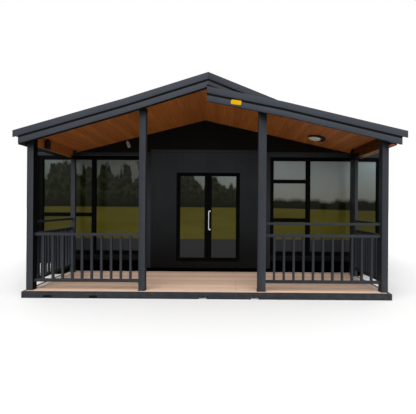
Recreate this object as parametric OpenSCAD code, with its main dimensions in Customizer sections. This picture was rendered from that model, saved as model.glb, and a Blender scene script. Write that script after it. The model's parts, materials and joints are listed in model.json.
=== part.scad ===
// Small prefabricated house with a gabled front porch.
// The front faces -Y. The origin lies on the ground, in the middle of the outline.

/* [House] */
// Width of the house across its front wall
house_w = 8500; // [8200:10:8900]
// Depth of the house from front wall to back wall
house_d = 5900; // [4800:10:9000]
// Thickness of the walls
wall_t = 100; // [80:1:150]
// Thickness of the floor slab
floor_t = 120; // [80:1:130]
// Distance of the skirt boards in from the side walls
skirt_inset = 500; // [100:10:900]
// Thickness of the skirt boards
skirt_t = 50; // [20:1:80]
// Distance between the corner ends of two skirt boards
skirt_gap = 5; // [2:1:10]
// Width of a support foot
foot_w = 100; // [60:1:140]

/* [Front wall] */
// Clear width between the two inner columns
center_w = 2750; // [2300:10:3000]
// Width of the left inner column
column_w = 150; // [100:1:200]
// Width of the right inner column
right_column_w = 118; // [100:1:200]
// Width of a corner post
corner_w = 150; // [110:1:200]
// Height of the centre base beam
base_h = 156; // [80:1:200]
// Height of the wing beams' underside above the ground
wing_base_z = 373; // [340:1:380]
// Height of a wing beam
wing_base_h = 135; // [90:1:180]
// Height of the front windows
window_h = 2363; // [2200:1:2400]
// Height of the beams over the front windows
header_h = 90; // [60:1:200]
// Height by which the middle of the front wall rises above the wings
wall_step = 54; // [0:1:80]

/* [Windows] */
// Width of the window frame bars
bar_w = 78; // [40:1:90]
// Width of the outer bar of the left front window
left_bar_w = 130; // [60:1:180]
// Width of the inner bar of the right front window
right_bar_w = 66; // [40:1:90]
// Width of the outer bar of the right front window
right_end_w = 45; // [35:1:90]
// Width of the mullions
mullion_w = 85; // [40:1:100]
// Height of the transoms
transom_h = 60; // [30:1:80]
// Depth of the window frames
frame_d = 80; // [40:1:90]
// Thickness of the glass units
glass_t = 24; // [10:1:30]
// Distance of the left window's mullion from the house centre
left_mullion_x = 2750; // [2200:10:3300]
// Distance of the right window's mullion from the house centre
right_mullion_x = 2400; // [2200:10:3300]
// Height of the left window's transom above the window's foot
left_transom_z = 953; // [700:1:1400]
// Height of the right window's lower transom above the window's foot
right_transom_z = 851; // [600:1:1200]
// Height of the right window's upper transom above the window's foot
right_upper_z = 1780; // [1500:10:2100]
// Width of a side or back window
side_window_w = 1500; // [900:10:1900]
// Height of a side or back window
side_window_h = 1540; // [900:10:1700]
// Distance between the centres of the two windows in a wall
side_window_gap = 2900; // [2100:10:3300]

/* [Door] */
// Width of the door frame
door_w = 1520; // [1200:10:1800]
// Height of the door frame
door_h = 2133; // [1950:1:2250]
// Height of the door frame's foot above the ground
door_z = 350; // [345:1:370]
// Width of the door frame's bars
jamb_w = 35; // [25:1:60]
// Width of a leaf's hinge stile
stile_w = 42; // [38:1:90]
// Width of a leaf's meeting stile
meeting_w = 72; // [50:1:110]
// Height of a leaf's top rail
leaf_top_h = 34; // [30:1:120]
// Height of a leaf's bottom rail
leaf_foot_h = 46; // [36:1:160]
// Length of a hinge plate beside the hinge axis
hinge_plate = 22; // [15:1:30]
// Distance from the hinge axis to the start of its plate
hinge_edge = 3; // [2:1:4]
// Distance of the handle's bar from the edge of its leaf
handle_edge = 5; // [3:1:10]
// Thickness of a leaf
leaf_t = 40; // [34:1:44]
// Distance of a leaf's face in from the wall's face
leaf_in = 5; // [3:1:15]
// Clearance around a leaf
leaf_gap = 5; // [5:1:8]
// Clearance between the two leaves
meeting_gap = 10; // [10:1:16]
// Radius of the hinge knuckles
knuckle_r = 8; // [6:1:9]
// Distance of the hinge axis in front of the wall's face
hinge_out = 12; // [11:1:20]
// Length of one hinge knuckle
knuckle_h = 40; // [30:1:60]
// Clearance between two knuckles
knuckle_gap = 0.4; // [0.3:0.1:0.8]
// Length of the door handle
handle_h = 460; // [200:10:800]
// Radius of the handle's bar
handle_r = 12; // [8:1:14]
// Distance of the handle's bar in front of the wall's face
handle_out = 60; // [45:1:90]
// Height of the handle's middle above the ground
handle_z = 1340; // [1100:10:1500]

/* [Main roof] */
// Height of the roof's underside at its side edges
eave_z = 3240; // [3200:10:3300]
// Slope of the main roof in degrees
roof_angle = 11.3; // [10.8:0.1:14]
// Thickness of the roof panels, measured upright
roof_t = 120; // [80:1:160]
// Overhang of the roof past the side walls
eave_out = 200; // [60:10:300]
// Overhang of the roof past the front and back walls
verge_out = 100; // [40:10:160]
// Width of one flap of the ridge cap
cap_w = 220; // [120:10:300]
// Thickness of the ridge cap
cap_t = 20; // [6:1:30]

/* [Deck] */
// Distance by which the deck runs out past the outer posts' sides
deck_side = 25; // [20:5:150]
// Height of the deck
deck_h = 116; // [90:1:130]
// Distance from the posts' front faces to the house wall
porch_d = 1640; // [1500:10:2100]
// Distance of the deck's front edge before the posts
deck_out = 90; // [20:5:150]
// Thickness of the deck's edge beams
deck_beam_t = 45; // [30:1:70]
// Thickness of the deck boards
deck_board_t = 26; // [18:1:40]
// Number of joists between the side beams
joist_n = 11; // [9:1:14]
// Width of a drain notch
notch_w = 150; // [60:10:200]
// Height of a drain notch
notch_h = 55; // [20:1:60]
// Width of the light metal edge trims
trim_w = 60; // [30:1:90]
// Height of the edge trims
trim_h = 10; // [4:1:15]

/* [Porch frame] */
// Side of the square posts
post_w = 120; // [90:1:140]
// Width of the right post at the entrance
wide_post_w = 150; // [100:1:180]
// Width of the left rear post
rear_left_w = 100; // [80:1:120]
// Depth of the left rear post
rear_left_d = 60; // [50:1:120]
// Width of the right rear post
rear_right_w = 70; // [60:1:120]
// Depth of the right rear post
rear_right_d = 260; // [60:10:300]
// Distance between the centres of the two left posts
left_bay = 2063; // [1900:1:2100]
// Distance between the centres of the two posts at the entrance
entry_bay = 2226; // [1900:1:2260]
// Distance between the centres of the two right posts
right_bay = 2251; // [1900:1:2300]
// Place of the entrance's middle, measured from the house centre
entry_x = -22; // [-60:1:20]
// Distance of the rear posts' backs before the house wall
rear_gap = 160; // [20:5:300]
// Distance by which a base plate runs out past its post
plate_out = 10; // [5:1:20]
// Thickness of a post's base plate
plate_t = 8; // [4:1:16]
// Depth of the left side beam under the soffit
left_beam_h = 179; // [100:1:240]
// Depth of the right side beam under the soffit
right_beam_h = 213; // [100:1:240]

/* [Railings] */
// Height of the rails' section
rail_h = 52; // [35:1:70]
// Thickness of the rails from front to back
rail_t = 50; // [40:1:70]
// Height of the top rail's middle above the ground
top_rail_z = 1145; // [1000:5:1200]
// Height of the upper handrail's middle above the ground
hand_rail_z = 1367; // [1290:5:1450]
// Height of the upper handrail's section
hand_rail_h = 42; // [30:1:60]
// Height of the bottom rail's middle above the ground
foot_rail_z = 290; // [230:5:400]
// Width of a baluster
baluster_w = 38; // [20:1:50]
// Number of balusters in the left front railing
left_n = 10; // [8:1:12]
// Number of balusters in the right front railing
right_n = 11; // [8:1:13]
// Number of balusters in a side railing
side_n = 11; // [8:1:12]

/* [Porch roof] */
// Place of the porch ridge, measured from the house centre
ridge_x = 75; // [20:5:100]
// Clearance of the porch ridge under the main roof
ridge_gap = 22; // [20:1:60]
// Distance of the left eave from the ridge
left_eave_x = 3505; // [3460:5:3600]
// Height of the left eave's top edge
left_eave_z = 3020; // [2980:1:3060]
// Distance of the left roof's dip from the ridge
dip_x = 1475; // [1200:5:1800]
// Depth of the dip under a straight line from eave to ridge
dip = 23; // [0:1:40]
// Distance of the right eave from the ridge
right_eave_x = 3565; // [3520:5:3640]
// Height of the right eave's top edge
right_eave_z = 3050; // [3020:5:3100]
// Depth of the right fascia's upper end below the ridge
right_drop = 271; // [240:1:300]
// Distance by which the right fascia starts left of the ridge
fascia_lap = 20; // [10:5:80]
// Distance from the ridge to the foot of the ridge hood
hood_x = 1335; // [1100:5:1500]
// Height of the right roof at the hood's foot above a straight line from ridge to eave
rise = 31; // [0:1:40]
// Place of the soffit's highest line, measured from the house centre
soffit_x = -85; // [-100:5:60]
// Depth of the roof from its ridge to the soffit's highest line
ridge_t = 353; // [340:1:400]
// Depth of the roof at the left edge of the soffit
left_edge_t = 146; // [110:1:180]
// Depth of the roof at the right edge of the soffit
right_edge_t = 135; // [100:1:150]
// Depth of the sheet that runs out past the left soffit
left_sheet_t = 95; // [60:1:98]
// Depth of the sheet that runs out past the right soffit
right_sheet_t = 80; // [30:1:84]
// Distance of a soffit's edge in from the eave
soffit_in = 80; // [60:5:120]
// Thickness of the soffit boards
soffit_t = 20; // [12:1:24]
// Clearance where a piece seats on a sloping face
seat_gap = 0.2; // [0.1:0.1:0.5]
// Distance of the porch roof's front before the posts' front faces
roof_out = 100; // [60:5:160]

/* [Fascia] */
// Height of the upper fascia strip
strip_h = 122; // [90:1:140]
// Height of the shadow gap between the two strips
strip_gap = 40; // [15:1:50]
// Height of the lower fascia strip
strip_low_h = 104; // [80:1:140]
// Thickness of a fascia strip
strip_t = 20; // [10:1:30]
// Thickness of the backing board
backing_t = 20; // [10:1:30]
// Distance by which the lower strip ends short of the upper one
strip_short = 100; // [40:5:160]

/* [Fittings] */
// Width of the plain plate on the fascia
badge_w = 185; // [120:5:260]
// Height of the plain plate
badge_h = 76; // [60:1:120]
// Thickness of the plain plate
badge_t = 6; // [3:1:12]
// Distance of the plain plate from the ridge
badge_x = 500; // [300:10:1000]
// Radius of the ceiling light's base
light_r = 195; // [120:5:240]
// Height of the ceiling light's base
light_h = 35; // [20:1:60]
// Radius of the ceiling light's lens
lens_r = 140; // [80:5:160]
// Depth of the ceiling light's lens
lens_h = 45; // [25:1:70]
// Distance of the ceiling light from the ridge
light_x = 2310; // [1800:5:2700]
// Distance of the ceiling light before the house wall
light_y = 662; // [400:1:1200]
// Radius of the hanging lamp
lamp_r = 50; // [30:1:70]
// Length of the hanging lamp below the soffit
lamp_h = 190; // [120:5:260]
// Distance of the hanging lamp from the side beam
lamp_in = 12; // [10:1:80]
// Distance of the hanging lamp behind the posts' front faces
lamp_y = 343; // [250:1:600]
// Radius of the wall spotlight
spot_r = 36; // [25:1:60]
// Length of the wall spotlight
spot_h = 160; // [120:5:180]
// Distance of the wall spotlight from the house centre
spot_x = 1910; // [1500:10:2600]
// Distance of the wall spotlight's middle below the soffit
spot_drop = 127; // [120:1:160]

/* [Hidden] */
$fn = 48;

steel = [0.27, 0.28, 0.31];
wall_grey = [0.16, 0.165, 0.17];
black = [0.05, 0.05, 0.05];
glass = [0.30, 0.33, 0.32];
wood = [0.55, 0.32, 0.13];
boards = [0.76, 0.62, 0.53];
light_metal = [0.75, 0.76, 0.78];
yellow = [0.95, 0.75, 0.05];

// Overcut of a hole past the faces that it goes through
cut = 1;

// Heights
floor_z = door_z + jamb_w;
slab_z = floor_z - floor_t;
base_z = door_z - base_h;
window_z = wing_base_z + wing_base_h;
header_z = window_z + window_h;
wing_top_z = header_z + header_h;
gable_z = wing_top_z + wall_step;
door_top_z = door_z + door_h;
side_window_z = header_z - side_window_h;

// Places across the front
half_w = house_w / 2;
center_x = center_w / 2;
wing_x0 = center_x + column_w;
right_wing_x0 = center_x + right_column_w;
wing_x1 = half_w - corner_w;

// Places from front to back, before the whole is centred
roof_front = porch_d + roof_out;
fascia_t = strip_t + backing_t;
front_y = -roof_front - 2 * fascia_t - badge_t;
back_y = house_d + verge_out;
shift_y = -(front_y + back_y) / 2;
post_y = -porch_d;
rear_left_y = -rear_gap - rear_left_d;
rear_right_y = -rear_gap - rear_right_d;

// Post centres
post_x2 = entry_x - entry_bay / 2;
post_x3 = entry_x + entry_bay / 2;
post_x1 = post_x2 - left_bay;
post_x4 = post_x3 + right_bay;
left_rail_x = post_x1 + (post_w - rail_t) / 2;
right_rail_x = post_x4 + (post_w - rail_t) / 2;

// Main roof
roof_half = half_w + eave_out;
function roof_z(x) = eave_z + (roof_half - abs(x)) * tan(roof_angle);
function wall_top(x) = roof_z(x) - seat_gap;

// Porch roof: top lines through [x, z] points, and soffit, as heights over X
ridge_z = roof_z(ridge_x) - ridge_gap;
right_top_z = ridge_z - right_drop;
left_x = ridge_x - left_eave_x;
right_x = ridge_x + right_eave_x;
bend_x = ridge_x + hood_x;
lap_x = ridge_x - fascia_lap;
soffit_left_x = left_x + soffit_in;
soffit_right_x = right_x - soffit_in;
low_x = ridge_x - dip_x;
function line(x, x0, z0, x1, z1) = z0 + (x - x0) * (z1 - z0) / (x1 - x0);
low_z = line(low_x, left_x, left_eave_z, ridge_x, ridge_z) - dip;
bend_z = line(bend_x, lap_x, right_top_z, right_x, right_eave_z) + rise;
left_line = [[left_x, left_eave_z], [low_x, low_z], [ridge_x, ridge_z]];
hood_line = [[ridge_x, ridge_z], [bend_x, bend_z]];
right_line = [[lap_x, right_top_z], [bend_x, bend_z], [right_x, right_eave_z]];
function left_top(x) = lookup(x, left_line);
function right_top(x) = lookup(x, right_line);
soffit_z = ridge_z - ridge_t;
soffit_left_z = left_top(soffit_left_x) - left_edge_t;
soffit_right_z = right_top(soffit_right_x) - right_edge_t;
function soffit_at(x) = x < soffit_x
    ? line(x, soffit_left_x, soffit_left_z, soffit_x, soffit_z)
    : line(x, soffit_x, soffit_z, soffit_right_x, soffit_right_z);
function core_at(x) = soffit_at(x) + soffit_t + seat_gap;
function seat_at(x) = soffit_at(x) - seat_gap;

// Door
leaf_x0 = meeting_gap / 2;
leaf_x1 = door_w / 2 - jamb_w - leaf_gap;
leaf_z0 = door_z + jamb_w + leaf_gap;
leaf_z1 = door_top_z - jamb_w - leaf_gap;
hinge_x = door_w / 2 - jamb_w;
hinge_heights = [for (k = [0.12, 0.5, 0.88]) leaf_z0 + k * (leaf_z1 - leaf_z0)];

// Drain notches along the deck's front beam
notch_x = [-2813, -1987, 0, 945];

// A box given by its corners, moved into the part's frame
module block(x0, x1, y0, y1, z0, z1) {
    translate([x0, y0 + shift_y, z0]) cube([x1 - x0, y1 - y0, z1 - z0]);
}

// An outline in X and Z, drawn out along Y
module slab(outline, y0, y1) {
    translate([0, y1 + shift_y, 0]) rotate([90, 0, 0]) linear_extrude(y1 - y0) polygon(outline);
}

// The same on the left and on the right
module both_sides() {
    children();
    mirror([1, 0, 0]) children();
}

// ---- Base ----

module skirt_boards() {
    x1 = half_w - skirt_inset;
    y1 = house_d - wall_t;
    color(black) {
        block(-x1, x1, wall_t, wall_t + skirt_t, 0, slab_z);
        block(-x1, x1, y1 - skirt_t, y1, 0, slab_z);
        both_sides() block(x1 - skirt_t, x1, wall_t + skirt_t + skirt_gap,
            y1 - skirt_t - skirt_gap, 0, slab_z);
    }
}

module support_feet() {
    y_first = house_d / 3;
    y_last = house_d - foot_w;
    color(black) both_sides()
        for (k = [0:2])
            let (y = y_first + k * (y_last - y_first) / 2)
                block(half_w - foot_w, half_w, y, y + foot_w, 0, slab_z);
}

module floor_slab() {
    color(wall_grey) block(-half_w, half_w, wall_t, house_d, slab_z, floor_z);
}

module base_beams() {
    color(steel) {
        block(-center_x, center_x, 0, wall_t, base_z, door_z);
        block(-wing_x1, -wing_x0, 0, wall_t, wing_base_z, window_z);
        block(right_wing_x0, wing_x1, 0, wall_t, wing_base_z, window_z);
    }
}

// ---- Walls ----

module wall_columns() {
    color(steel) {
        block(-wing_x0, -center_x, 0, wall_t, base_z, gable_z);
        block(center_x, right_wing_x0, 0, wall_t, base_z, gable_z);
        both_sides() block(wing_x1, half_w, 0, wall_t, 0, wing_top_z);
    }
}

module window_headers() {
    color(steel) {
        block(-wing_x1, -wing_x0, 0, wall_t, header_z, wing_top_z);
        block(right_wing_x0, wing_x1, 0, wall_t, header_z, wing_top_z);
    }
}

module front_wall_panels() {
    color(wall_grey) both_sides() block(door_w / 2, center_x, 0, wall_t, door_z, gable_z);
}

module front_wall_top() {
    color(wall_grey) block(-door_w / 2, door_w / 2, 0, wall_t, door_top_z, gable_z);
}

// Upper corners of a wall under the main roof, from right to left
under_roof = [[half_w, wall_top(half_w)], [0, wall_top(0)], [-half_w, wall_top(half_w)]];

// Front gable, its foot stepping up over the middle of the wall
module front_gable() {
    foot = [[-half_w, wing_top_z], [-wing_x0, wing_top_z], [-wing_x0, gable_z],
        [right_wing_x0, gable_z], [right_wing_x0, wing_top_z], [half_w, wing_top_z]];
    color(black) slab(concat(foot, under_roof), 0, wall_t);
}

module side_wall() {
    inner = half_w - wall_t;
    color(wall_grey) difference() {
        slab([[inner, floor_z], [half_w, floor_z], [half_w, wall_top(half_w)],
            [inner, wall_top(inner)]], wall_t, house_d - wall_t);
        for (y = side_window_y)
            block(inner - cut, half_w + cut, y - side_window_w / 2, y + side_window_w / 2,
                side_window_z, side_window_z + side_window_h);
    }
}

side_window_y = [for (s = [-1, 1]) house_d / 2 + s * side_window_gap / 2];

module side_wall_left() { mirror([1, 0, 0]) side_wall(); }
module side_wall_right() { side_wall(); }

module back_wall() {
    color(wall_grey) difference() {
        slab(concat([[-half_w, floor_z], [half_w, floor_z]], under_roof),
            house_d - wall_t, house_d);
        for (s = [-1, 1])
            block(s * side_window_gap / 2 - side_window_w / 2,
                s * side_window_gap / 2 + side_window_w / 2,
                house_d - wall_t - cut, house_d + cut,
                side_window_z, side_window_z + side_window_h);
    }
}

// ---- Windows ----

// Panes of a window as [x0, x1, z0, z1]. A window is [x0, x1, z0, z1, mullion, transoms
// of the left column, width of the left bar, width of the right bar]
function panes(w) =
    let (a = w[0] + w[6], b = w[4] - mullion_w / 2, c = w[4] + mullion_w / 2, d = w[1] - w[7],
        lows = concat([w[2] + bar_w], [for (t = w[5]) t + transom_h / 2]),
        highs = concat([for (t = w[5]) t - transom_h / 2], [w[3] - bar_w]))
    concat([for (k = [0:len(lows) - 1]) [a, b, lows[k], highs[k]]],
        [[c, d, w[2] + bar_w, w[3] - bar_w]]);

// Frame of a window that fills its opening, its bars standing around the panes
module window_frame(w) {
    y0 = (wall_t - frame_d) / 2;
    color(black) difference() {
        block(w[0], w[1], y0, y0 + frame_d, w[2], w[3]);
        for (p = panes(w)) block(p[0], p[1], y0 - cut, y0 + frame_d + cut, p[2], p[3]);
    }
}

module window_glass(w) {
    y0 = (wall_t - glass_t) / 2;
    color(glass) for (p = panes(w)) block(p[0], p[1], y0, y0 + glass_t, p[2], p[3]);
}

left_window = [-wing_x1, -wing_x0, window_z, header_z, -left_mullion_x,
    [window_z + left_transom_z], left_bar_w, bar_w];
right_window = [right_wing_x0, wing_x1, window_z, header_z, right_mullion_x,
    [window_z + right_transom_z, window_z + right_upper_z], right_bar_w, right_end_w];
plain_window = [-side_window_w / 2, side_window_w / 2, side_window_z,
    side_window_z + side_window_h, 0, [], bar_w, bar_w];

module front_window_left() { window_frame(left_window); }
module front_window_right() { window_frame(right_window); }
module front_window_glass() {
    window_glass(left_window);
    window_glass(right_window);
}

// Turn a plain window into the side walls or move it into the back wall
module in_side_walls() {
    for (side = [-1, 1])
        for (y = side_window_y)
            translate([side * half_w, y + shift_y, 0]) rotate([0, 0, side * 90])
                translate([0, -shift_y, 0]) children();
}

module in_back_wall() {
    for (s = [-1, 1])
        translate([s * side_window_gap / 2, house_d - wall_t, 0]) children();
}

module side_window_frames() { in_side_walls() window_frame(plain_window); }
module side_window_glass() { in_side_walls() window_glass(plain_window); }
module back_window_frames() { in_back_wall() window_frame(plain_window); }
module back_window_glass() { in_back_wall() window_glass(plain_window); }

// ---- Door ----

// One knuckle with the plate that ties it to the piece beside it
module knuckle(z, side) {
    x = hinge_x + side * hinge_edge;
    translate([hinge_x, -hinge_out + shift_y, z]) cylinder(r = knuckle_r, h = knuckle_h);
    block(min(x, hinge_x + side * hinge_plate), max(x, hinge_x + side * hinge_plate),
        -hinge_out - knuckle_r / 4, side > 0 ? 0 : leaf_in, z, z + knuckle_h);
    block(min(hinge_x, x), max(hinge_x, x),
        -hinge_out - knuckle_r / 4, -hinge_out + knuckle_r / 4, z, z + knuckle_h);
}

module door_frame() {
    color(black) {
        difference() {
            block(-door_w / 2, door_w / 2, 0, wall_t, door_z, door_top_z);
            block(-hinge_x, hinge_x, -cut, wall_t + cut, door_z + jamb_w, door_top_z - jamb_w);
        }
        both_sides() for (z = hinge_heights) {
            knuckle(z + knuckle_h / 2 + knuckle_gap, 1);
            knuckle(z - knuckle_h * 3 / 2 - knuckle_gap, 1);
        }
    }
}

module door_leaf() {
    color(black) {
        difference() {
            block(leaf_x0, leaf_x1, leaf_in, leaf_in + leaf_t, leaf_z0, leaf_z1);
            block(leaf_x0 + meeting_w, leaf_x1 - stile_w, leaf_in - cut, leaf_in + leaf_t + cut,
                leaf_z0 + leaf_foot_h, leaf_z1 - leaf_top_h);
        }
        for (z = hinge_heights) knuckle(z - knuckle_h / 2, -1);
    }
}

module door_glass() {
    y0 = leaf_in + (leaf_t - glass_t) / 2;
    color(glass) block(leaf_x0 + meeting_w, leaf_x1 - stile_w, y0, y0 + glass_t,
        leaf_z0 + leaf_foot_h, leaf_z1 - leaf_top_h);
}

module door_leaf_left() { mirror([1, 0, 0]) door_leaf(); }
module door_leaf_right() { door_leaf(); }
module door_glass_left() { mirror([1, 0, 0]) door_glass(); }
module door_glass_right() { door_glass(); }

module door_handle() {
    bar_x = leaf_x0 + handle_r + handle_edge;
    foot_x = leaf_x0 + meeting_w - 2 * handle_r;
    z0 = handle_z - handle_h / 2;
    color(light_metal) translate([0, shift_y, 0]) {
        translate([bar_x, -handle_out, z0]) cylinder(r = handle_r, h = handle_h);
        for (z = [z0 + handle_r, z0 + handle_h - handle_r]) {
            translate([bar_x, -handle_out, z]) rotate([0, 90, 0])
                cylinder(r = handle_r * 0.8, h = foot_x - bar_x);
            translate([foot_x, leaf_in, z]) rotate([90, 0, 0])
                cylinder(r = handle_r, h = handle_out + leaf_in + handle_r);
        }
    }
}

// ---- Main roof ----

module main_roof() {
    color(wall_grey) slab([[0, roof_z(0)], [roof_half, roof_z(roof_half)],
        [roof_half, roof_z(roof_half) + roof_t], [0, roof_z(0) + roof_t]], -verge_out, back_y);
}

module main_roof_left() { mirror([1, 0, 0]) main_roof(); }
module main_roof_right() { main_roof(); }

module ridge_cap() {
    z_top = roof_z(0) + roof_t + seat_gap;
    z_low = roof_z(cap_w) + roof_t + seat_gap;
    color(steel) slab([[-cap_w, z_low], [0, z_top], [cap_w, z_low], [cap_w, z_low + cap_t],
        [0, z_top + cap_t], [-cap_w, z_low + cap_t]], -verge_out, back_y);
}

// ---- Deck ----

deck_x0 = post_x1 - post_w / 2 - deck_side;
deck_x1 = post_x4 + post_w / 2 + deck_side;
deck_front = -porch_d - deck_out;

module deck_frame() {
    joist_z = deck_h - deck_board_t;
    step = (deck_x1 - deck_x0 - deck_beam_t) / (joist_n + 1);
    color(steel) difference() {
        union() {
            difference() {
                block(deck_x0, deck_x1, deck_front, 0, 0, deck_h);
                block(deck_x0 + deck_beam_t, deck_x1 - deck_beam_t, deck_front + deck_beam_t,
                    -deck_beam_t, -cut, deck_h + cut);
            }
            for (k = [1:joist_n])
                block(deck_x0 + k * step, deck_x0 + k * step + deck_beam_t,
                    deck_front + deck_beam_t / 2, -deck_beam_t / 2, 0, joist_z);
        }
        for (x = notch_x)
            block(x - notch_w / 2, x + notch_w / 2, deck_front - cut, deck_front + deck_beam_t + cut,
                -cut, notch_h);
    }
}

module deck_floor() {
    color(boards) block(deck_x0 + deck_beam_t, deck_x1 - deck_beam_t, deck_front + deck_beam_t,
        -deck_beam_t, deck_h - deck_board_t, deck_h);
}

// Trim between the rail posts, x being its left edge
module deck_trim(x, y_end) {
    block(x, x + trim_w, post_y + post_w, y_end - plate_out, deck_h, deck_h + trim_h);
}

module deck_trims() {
    edge = post_w / 2 + plate_out;
    color(light_metal) {
        deck_trim(post_x1 + edge, rear_left_y);
        deck_trim(post_x4 - edge - trim_w, rear_right_y);
    }
}

// ---- Porch frame ----

// Post that stands on the deck on its base plate and ends under the soffit
module post(x0, x1, y0, y1) {
    color(steel) {
        slab([[x0, deck_h], [x1, deck_h], [x1, seat_at(x1)], [x0, seat_at(x0)]], y0, y1);
        block(x0 - plate_out, x1 + plate_out, y0 - plate_out, y1 + plate_out,
            deck_h, deck_h + plate_t);
    }
}

// Front post, its right side at half a post's width right of x
module front_post(x, width) {
    x1 = x + post_w / 2;
    post(x1 - width, x1, post_y, post_y + post_w);
}

module outer_posts() { for (x = [post_x1, post_x4]) front_post(x, post_w); }

module inner_posts() {
    front_post(post_x2, post_w);
    front_post(post_x3, wide_post_w);
}

module rear_posts() {
    x0 = left_rail_x - rail_t / 2;
    x1 = right_rail_x + rail_t / 2;
    post(x0, x0 + rear_left_w, rear_left_y, -rear_gap);
    post(x1 - rear_right_w, x1, rear_right_y, -rear_gap);
}

// Beam between a front post and a rear post
module side_beam(x, inner_side, beam_h, y_end) {
    x0 = x - post_w / 2;
    x1 = x + post_w / 2;
    low = soffit_at(x + inner_side * post_w / 2) - beam_h;
    color(wood) slab([[x0, low], [x1, low], [x1, seat_at(x1)], [x0, seat_at(x0)]],
        post_y + post_w, y_end);
}

module side_beams() {
    side_beam(post_x1, 1, left_beam_h, rear_left_y);
    side_beam(post_x4, -1, right_beam_h, rear_right_y);
}

// ---- Railings ----

// Railing drawn along X from 0 to its length, its middle plane at y = 0
module railing(length, count, with_hand_rail) {
    pitch = (length + baluster_w) / (count + 1);
    rails = concat([[foot_rail_z, rail_h], [top_rail_z, rail_h]],
        with_hand_rail ? [[hand_rail_z, hand_rail_h]] : []);
    color(steel) {
        for (r = rails)
            translate([0, -rail_t / 2, r[0] - r[1] / 2]) cube([length, rail_t, r[1]]);
        for (k = [1:count])
            translate([k * pitch - baluster_w, -baluster_w / 2, foot_rail_z])
                cube([baluster_w, baluster_w, top_rail_z - foot_rail_z]);
    }
}

module front_railing(x0, x1, count, with_hand_rail) {
    translate([x0 + post_w / 2, post_y + post_w / 2 + shift_y, 0])
        railing(x1 - x0 - post_w, count, with_hand_rail);
}

module side_railing(x, y_end) {
    translate([x, post_y + post_w + shift_y, 0]) rotate([0, 0, 90])
        railing(y_end - post_y - post_w, side_n, true);
}

module railing_front_left() { front_railing(post_x1, post_x2, left_n, false); }
module railing_front_right() { front_railing(post_x3, post_x4, right_n, true); }
module railing_side_left() { side_railing(left_rail_x, rear_left_y); }
module railing_side_right() { side_railing(right_rail_x, rear_right_y); }

// ---- Porch roof ----

module porch_roof_left() {
    color(wall_grey) slab(concat(left_line, [[ridge_x, core_at(ridge_x)],
        [soffit_x, core_at(soffit_x)], [soffit_left_x, core_at(soffit_left_x)],
        [soffit_left_x, left_top(soffit_left_x) - left_sheet_t],
        [left_x, left_eave_z - left_sheet_t]]), -roof_front, 0);
}

module porch_roof_right() {
    color(wall_grey) slab([[bend_x, bend_z], [right_x, right_eave_z],
        [right_x, right_eave_z - right_sheet_t],
        [soffit_right_x, right_top(soffit_right_x) - right_sheet_t],
        [soffit_right_x, core_at(soffit_right_x)], [bend_x, core_at(bend_x)]],
        -roof_front - fascia_t, 0);
}

module ridge_hood() {
    color(wall_grey) slab(concat(hood_line, [[bend_x, core_at(bend_x)],
        [ridge_x, core_at(ridge_x)]]), -roof_front, 0);
}

// Boards under the roof between the eave and the ridge
module soffit(x0, z0, x1, z1) {
    color(wood) slab([[x0, z0], [x1, z1], [x1, z1 + soffit_t], [x0, z0 + soffit_t]],
        -roof_front, 0);
}

module soffit_left() { soffit(soffit_left_x, soffit_left_z, soffit_x, soffit_z); }
module soffit_right() { soffit(soffit_x, soffit_z, soffit_right_x, soffit_right_z); }

fascia_h = strip_h + strip_gap + strip_low_h;

// Band between two depths under a line through points, from x0 to x1
module band(points, x0, x1, d0, d1, y0, y1) {
    places = concat([x0], [for (p = points) if (p[0] > x0 && p[0] < x1) p[0]], [x1]);
    last = len(places) - 1;
    upper = [for (x = places) [x, lookup(x, points) - d0]];
    lower = [for (k = [0:last]) [places[last - k], lookup(places[last - k], points) - d1]];
    slab(concat(upper, lower), y0, y1);
}

// Double fascia under a line: a backing board with an upper and a lower strip on it
module fascia(points, short_left, short_right, y_back) {
    x0 = points[0][0];
    x1 = points[len(points) - 1][0];
    low_x0 = x0 + short_left;
    low_x1 = x1 - short_right;
    y_mid = y_back - backing_t;
    y_front = y_back - fascia_t;
    color(steel) {
        band(points, low_x0, low_x1, 0, fascia_h, y_mid, y_back);
        band(points, x0, x1, 0, strip_h, y_front, y_mid);
        band(points, low_x0, low_x1, strip_h + strip_gap, fascia_h, y_front, y_mid);
    }
}

module fascia_left() { fascia(left_line, strip_short, 0, -roof_front); }
module fascia_hood() { fascia(hood_line, 0, 0, -roof_front); }
module fascia_right() { fascia(right_line, 0, strip_short, -roof_front - fascia_t); }

// ---- Fittings ----

module yellow_plate() {
    x = ridge_x + badge_x;
    angle = atan((right_top_z - bend_z) / (bend_x - lap_x));
    z = right_top(x) - strip_h - strip_gap * 3 / 4 - badge_h / 2;
    color(yellow) translate([x, -roof_front - 2 * fascia_t + shift_y, z]) rotate([0, angle, 0])
        translate([-badge_w / 2, -badge_t, -badge_h / 2]) cube([badge_w, badge_t, badge_h]);
}

module ceiling_light() {
    x = ridge_x + light_x;
    angle = atan((soffit_z - soffit_right_z) / (soffit_right_x - soffit_x));
    translate([x, -light_y + shift_y, seat_at(x)]) rotate([0, angle, 0]) {
        color(black) translate([0, 0, -light_h]) cylinder(r = light_r, h = light_h);
        color(light_metal) translate([0, 0, -light_h - lens_h])
            cylinder(r1 = lens_r * 0.8, r2 = lens_r, h = lens_h);
    }
}

module hanging_lamp() {
    x = post_x1 + post_w / 2 + lamp_in + lamp_r;
    x0 = x - 2 * lamp_r;
    x1 = x + 2 * lamp_r;
    y = post_y + lamp_y;
    low = soffit_at(x) - lamp_h;
    color(black) intersection() {
        translate([x, y + shift_y, low]) cylinder(r = lamp_r, h = 2 * lamp_h);
        slab([[x0, low - cut], [x1, low - cut], [x1, seat_at(x1)], [x0, seat_at(x0)]],
            y - 2 * lamp_r, y + 2 * lamp_r);
    }
}

spot_plate_t = 20;
spot_sunk = 4;

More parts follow.
